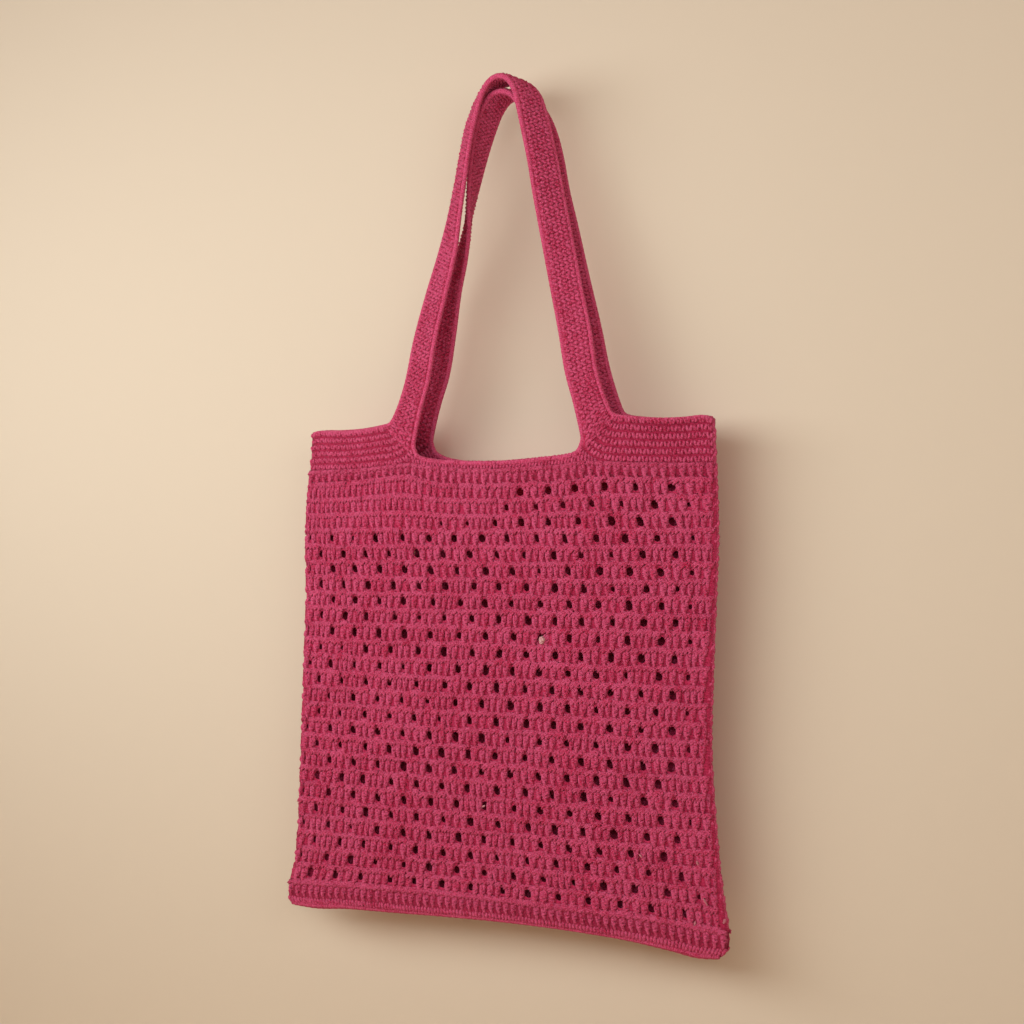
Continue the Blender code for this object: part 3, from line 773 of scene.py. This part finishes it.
# ------------------------------------------------ base band
def base_point(x, run, n):
    """Down the front, round the fold and up the back; run is 0 to 1."""
    x, run, n = np.broadcast_arrays(np.asarray(x, float), np.asarray(run, float), np.asarray(n, float))
    u = (x - MID) / HALF
    mid, half = side_line(-640.0)
    xx = mid + u * half
    head = curve(BASE_HEAD["x"], BASE_HEAD["z"], xx) - GAP / 2
    fold = curve(BASE_FOLD["x"], BASE_FOLD["z"], xx) + FABRIC / 2

    def middle(s):
        off = stand_off(u, fold + 5, -1)
        radius = np.maximum(off, 4.2)
        bend = math.pi * radius
        drop = head - (fold + radius)
        whole = 2 * drop + bend
        d = s * whole
        down = np.clip(d / drop, 0, 1)
        back = np.clip((d - drop - bend) / drop, 0, 1)
        turn = np.clip((d - drop) / radius, 0, math.pi)
        front_y = -(stand_off(u, head - down * drop, -1) * (1 - down) + radius * down)
        back_y = radius * (1 - back) + stand_off(u, head - (1 - back) * drop, 1) * back
        y = np.where(d < drop, front_y, np.where(d > drop + bend, back_y, -radius * np.cos(turn)))
        z = np.where(d < drop, head - down * drop, np.where(d > drop + bend, fold + radius + back * drop, fold + radius - radius * np.sin(turn)))
        m, h = side_line(z)
        return np.stack([m + u * h, y, z], -1)

    inside = np.clip(run, 0.006, 0.994)
    along = middle(inside + 0.004) - middle(inside - 0.004)
    p = middle(np.clip(run, 0, 1)) + ((run - np.clip(run, 0, 1)) / 0.008)[..., None] * along
    across = np.array([1.0, 0.0, 0.0])
    normal = np.cross(along, across)
    normal /= np.linalg.norm(normal, axis=-1)[..., None]
    return p + n[..., None] * normal


rib = post_stitch(RIB, 14.0, 5, 6, 2, radius=1.45, apart=1.2)
rib_top = top_stitch(RIB, 3.0, 4, 5, 3)
sc_low = close_stitch(SC, 5.0, 1.5, 4, margin=0.02, sink=-0.1)
lo, hi = MID - HALF, MID + HALF
RUN = 49.0                # length round the band, front to back
GRAIN = (1.0, 1.0 / RUN)


def base_row(r0, r1, pitch):
    count = int(round((hi - lo) / pitch * 380 / 354))
    xs = np.linspace(lo, hi, count + 1)
    a, b = np.stack([xs, np.full(count + 1, r0)], -1), np.stack([xs, np.full(count + 1, r1)], -1)
    return np.stack([a[:-1], a[1:], b[:-1], b[1:]], 1)


# rows as shares of the way round: a tall row and two short ones on each side of the fold
for side_name, turned, way in (("front", True, lambda r: r), ("back", False, lambda r: 1 - r)):
    yarn = Yarn(base_point, turned=turned, seed=51 + int(turned))
    yarn.work(rib, base_row(way(0.31), way(0.025), RIB), units=GRAIN)
    yarn.work(rib_top, base_row(way(0.065), way(0.0), RIB), lift=0.3, units=GRAIN)
    yarn.work(sc_low, base_row(way(0.405), way(0.30), SC), loose=0.5, units=GRAIN)
    # painted shade: the two cords at the fold are tinted darker than the other cords
    for r, thick in ((0.425, 2.0), (0.487, 2.05)):
        line = np.arange(lo + 1.0, hi - 1.0, 1.5)
        yarn.cord(base_point(line, way(r), 0.55), thick, sides=8, pitch=5.6, bead=0.07, tint=-0.6)
    yarn.piece("base_" + side_name + "_yarn", band_yarn)
xs = np.linspace(lo + 1, hi - 1, 100)
runs = np.linspace(0.0, 1.0, 25)[:, None]
points = base_point(np.broadcast_to(xs, (25, 100)), np.broadcast_to(runs, (25, 100)), 0.0)
sheet = ground("base_ground", points[::-1], np.ones((24, 99), bool), 1.6, painted_shade_ground, 7)
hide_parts("base_band")


# ------------------------------------------------ straps
def strap_table(table, layer):
    rows = []
    for k in range(len(table["x"])):
        turn = math.radians(table["turn"][k])
        rows.append((np.array([table["x"][k], table["y"][k], table["z"][k]], float),
                     np.array([math.cos(turn), math.sin(turn), 0.0]) * table["wide"][k] / 2))
    for side in (-1, 1):
        inner = cloth(side * ROOT_IN, top_height(side * ROOT_IN, layer), 0.0, layer)
        outer = cloth(side * ROOT_OUT, top_height(side * ROOT_OUT, layer), 0.0, layer)
        root_mid, root_half = (inner + outer) / 2, (outer - inner) / 2
        start_mid, start_half = rows[0] if side < 0 else rows[-1]
        for share, spread_ in zip(ROOT_ROWS["share"], ROOT_ROWS["spread"]):
            row = (start_mid * (1 - share) + root_mid * share, start_half * (1 - spread_) + root_half * spread_)
            if side < 0:
                rows.insert(0, row)
            else:
                rows.append(row)
    centre = np.array([r[0] for r in rows])
    half = np.array([r[1] for r in rows])
    run = np.concatenate([[0], np.cumsum(np.linalg.norm(np.diff(centre, axis=0), axis=1))])
    at = np.arange(0, run[-1], 1.0)
    at = np.append(at, run[-1])
    centre = np.stack([curve(run, centre[:, i], at) for i in range(3)], -1)
    half = np.stack([curve(run, half[:, i], at) for i in range(3)], -1)
    tangent = np.gradient(centre, at, axis=0)
    normal = np.cross(tangent, half)
    normal /= np.linalg.norm(normal, axis=1)[:, None]
    return at, centre, half, normal


def strap(side_name, table, layer):
    at, centre, half, normal = strap_table(table, layer)
    if layer > 0:
        # nestled against the front strap at the left of the arch
        nestle = 1.7 * np.exp(-((at - 0.47 * at[-1]) / 48.0) ** 2)
        centre = centre + nestle[:, None] * np.array([-0.7, 0.0, 0.7])

    def place(s, q, n):
        s, q, n = np.broadcast_arrays(s, q, n)
        c, h, m = (np.stack([np.interp(s, at, a[:, i]) for i in range(3)], -1) for a in (centre, half, normal))
        return c + q[..., None] * h + n[..., None] * m

    total = at[-1]
    # the ends run a little way into the shoulders
    tuck = 4.0
    at = np.concatenate([[-tuck], at, [total + tuck]])
    centre = np.concatenate([[centre[0] * (1 + tuck) - tuck * centre[1]], centre, [centre[-1] + (centre[-1] - centre[-3]) * tuck / 2]])
    half, normal = (np.concatenate([a[:1], a, a[-1:]]) for a in (half, normal))
    yarn = Yarn(place, turned=False, seed=71 + layer)
    wide = 2 * STRAP_EDGE / STRAP_ROWS
    sc = close_stitch(STRAP_SC, wide * 12.75, 1.5, 4, 5, slant=0.10, margin=0.08, sink=0.2, ends=0.95)
    for row in range(STRAP_ROWS):
        q0 = -STRAP_EDGE + row * wide
        count = int(round(total / STRAP_SC))
        s = np.linspace(-3.0, total + 3.0, count + 1) + (0.25 * STRAP_SC if row % 2 else 0.0)
        a = np.stack([s, np.full_like(s, q0)], -1)
        b = np.stack([s, np.full_like(s, q0 + wide)], -1)
        cells = np.stack([a[:-1], a[1:], b[:-1], b[1:]], 1)
        for out in (1.0, -1.0):
            yarn.work(sc, cells, out=out, lift=0.6 * out, loose=0.4, units=(1.0, 1 / 12.75))
            # painted shade: one face of the back strap is tinted darker along its left limb, for the shade where it
            # lies behind the front strap
            if layer > 0 and out > 0:
                shade = 3.2 * np.clip((0.50 * total - cells[:, 0, 0]) / (0.12 * total), 0, 1)
                yarn.tint[-1] = yarn.tint[-1] - np.repeat(shade, len(sc[0]))
    # firm edges, one strand each: from a shoulder over the strap, and from the mouth over the strap
    s = np.arange(3.0, total - 3.0, 1.5)
    inside = place(s, np.full_like(s, -0.86), np.zeros_like(s))
    outside = place(s, np.full_like(s, 0.86), np.zeros_like(s))
    lo, hi = MID - HALF + 2.0, MID + HALF - 2.0

    def edge(x0, x1, drop):
        xs = np.linspace(x0, x1, max(2, int(abs(x1 - x0) / 1.5)))
        return cloth(xs, top_height(xs, layer) - drop, 0.0, layer)

    runs = (np.concatenate([edge(0.0, -ROOT_IN + 2.5, 1.5), inside, edge(ROOT_IN - 2.5, 0.0, 1.5)]),
            np.concatenate([edge(lo, -ROOT_OUT - 4.0, 1.6), outside, edge(ROOT_OUT + 4.0, hi, 1.6)]))
    for line in runs:
        walked = np.concatenate([[0], np.cumsum(np.linalg.norm(np.diff(line, axis=0), axis=1))])
        even = np.arange(0, walked[-1], 1.5)
        line = np.stack([np.interp(even, walked, line[:, i]) for i in range(3)], -1)
        for _ in range(5):
            line[1:-1] = 0.25 * line[:-2] + 0.5 * line[1:-1] + 0.25 * line[2:]
        arch = np.exp(-((line[:, 2] - 2.0) / 34.0) ** 2)
        yarn.cord(line, 1.85 + 0.45 * arch, sides=9, pitch=4.4, bead=0.05)
    stitches = yarn.piece("strap_" + side_name + "_yarn", strap_yarn)
    s = np.linspace(-3.5, total + 3.5, 160)
    q = np.linspace(-0.94, 0.94, 6)[:, None]
    points = place(np.broadcast_to(s, (6, 160)), np.broadcast_to(q, (6, 160)), 0.0)
    sheet = ground("strap_" + side_name + "_ground", points, np.ones((5, 159), bool), 2.4, painted_shade_strap_ground, 8)
    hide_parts("strap_" + side_name)


strap("front", STRAP_FRONT, -1)
strap("back", STRAP_BACK, 1)


# ------------------------------------------------ side seams
def side_seam(side, name):
    yarn = Yarn(None, seed=90 + side)
    z = np.arange(-264.0, -640.0, -1.6)
    mid, half = side_line(z)
    sway = 0.5 * np.sin(z / 13.0 * 2 * math.pi)
    x = mid + side * (half - 1.3 + 0.45 * np.sin(z / 13.2 * 2 * math.pi) + 0.2 * np.sin(z / 5.1 * 2 * math.pi))
    yarn.twist(np.stack([x, sway, z], -1), 1.8, 0.95, sides=6, pitch=11.0)
    return yarn.piece(name, body_yarn)


for side, name in ((-1, "side_seam_left"), (1, "side_seam_right")):
    seam = side_seam(side, name)


# ------------------------------------------------ lint caught on the front
LINT = {"x":     (38.2, -13.2, 116.2, 159.7, 165.7, 157.7, 180.0),
        "z":     (-429.5, -561.6, -589.0, -590.9, -618.8, -635.3, -631.5),
        "long":  (6.4, 3.4, 3.6, 3.4, 6.0, 4.2, 4.4),
        "thick": (2.5, 0.8, 0.7, 1.0, 0.85, 0.8, 1.1),
        "turn":  (80.0, 30.0, 130.0, 100.0, 115.0, 70.0, 60.0)}
lint_fibre = yarn_material("lint", (0.58, 0.17, 0.23, 1.0), (0.84, 0.52, 0.52, 1.0), 0.9)
yarn = Yarn(None, seed=97)
for x, z, long, thick, turn in zip(*LINT.values()):
    mid, half = side_line(z)
    x = MID + (x - mid) / half * HALF
    along = np.linspace(-0.5, 0.5, 8)
    turn = math.radians(turn)
    centre = cloth(x + long * along * math.cos(turn), z + long * along * math.sin(turn), 3.0, -1)
    yarn.cord(centre, thick * np.sqrt(np.maximum(0.04, 1 - (2 * along) ** 2)) * (1 + 0.12 * np.sin(9 * along)), sides=8, bead=0.0,
              tint=0.6 if thick > 2 else -6.0)
lint = yarn.piece("lint", lint_fibre)


# ------------------------------------------------ stage, light, camera
def plain(name, colour, rough=0.9):
    mat = bpy.data.materials.new(name)
    mat.use_nodes = True
    bsdf = mat.node_tree.nodes["Principled BSDF"]
    bsdf.inputs["Base Color"].default_value = colour
    bsdf.inputs["Roughness"].default_value = rough
    bsdf.inputs["Specular IOR Level"].default_value = 0.1
    return mat


def plane(name, corners, material):
    mesh = bpy.data.meshes.new(name)
    mesh.from_pydata(corners, [], [(0, 1, 2, 3)])
    mesh.materials.append(material)
    obj = bpy.data.objects.new(name, mesh)
    bpy.context.scene.collection.objects.link(obj)
    return obj


floor_z, wall_y = -0.86, 0.052
floor = plane("floor", [(-4, -4, floor_z), (4, -4, floor_z), (4, 4, floor_z), (-4, 4, floor_z)],
              plain("pale floor", (0.70, 0.58, 0.44, 1.0)))
wall_paint = plain("pale wall", (0.67, 0.588, 0.476, 1.0))
tree = wall_paint.node_tree
geometry = tree.nodes.new("ShaderNodeNewGeometry")
clear = tree.nodes.new("ShaderNodeBsdfTransparent")
choose = tree.nodes.new("ShaderNodeMixShader")
tree.links.new(geometry.outputs["Backfacing"], choose.inputs[0])
tree.links.new(tree.nodes["Principled BSDF"].outputs[0], choose.inputs[1])
tree.links.new(clear.outputs[0], choose.inputs[2])
tree.links.new(choose.outputs[0], tree.nodes["Material Output"].inputs["Surface"])
wall = plane("backdrop", [(-3, wall_y, floor_z), (3, wall_y, floor_z), (3, wall_y, 3), (-3, wall_y, 3)], wall_paint)
wall.visible_shadow = False

world = bpy.data.worlds.new("studio")
bpy.context.scene.world = world
world.use_nodes = True
world.node_tree.nodes["Background"].inputs["Color"].default_value = (1.0, 0.60, 0.36, 1.0)
world.node_tree.nodes["Background"].inputs["Strength"].default_value = 0.28


def area_light(name, place, aim, wide, high, power, colour):
    data = bpy.data.lights.new(name, "AREA")
    data.shape = "ELLIPSE"
    data.size = wide
    data.size_y = high
    data.energy = power
    data.color = colour
    obj = bpy.data.objects.new(name, data)
    bpy.context.scene.collection.objects.link(obj)
    obj.location = place
    obj.rotation_euler = (Vector(aim) - Vector(place)).to_track_quat("-Z", "Y").to_euler()
    obj.visible_camera = False
    return obj


area_light("key", (-0.38, -0.80, -0.12), (-0.08, 0.05, -0.21), 1.6, 0.45, 8.8, (0.98, 1.0, 0.98))
area_light("fill", (0.80, -0.98, -0.10), (0.22, 0.05, -0.22), 1.1, 0.6, 3.8, (1.0, 0.98, 0.93))
area_light("back", (-0.55, 1.35, 0.15), (-0.02, 0.0, -0.38), 1.2, 1.2, 9.0, (1.0, 0.96, 0.90))

camera_data = bpy.data.cameras.new("camera")
camera = bpy.data.objects.new("camera", camera_data)
bpy.context.scene.collection.objects.link(camera)
camera.location = (0.47087, -1.02282, -0.35366)
camera.rotation_euler = (math.radians(91.19), 0.0, math.radians(24.4))
camera_data.lens = 50.0
camera_data.sensor_width = 36.0
bpy.context.scene.camera = camera
bpy.context.scene.view_settings.view_transform = "Standard"
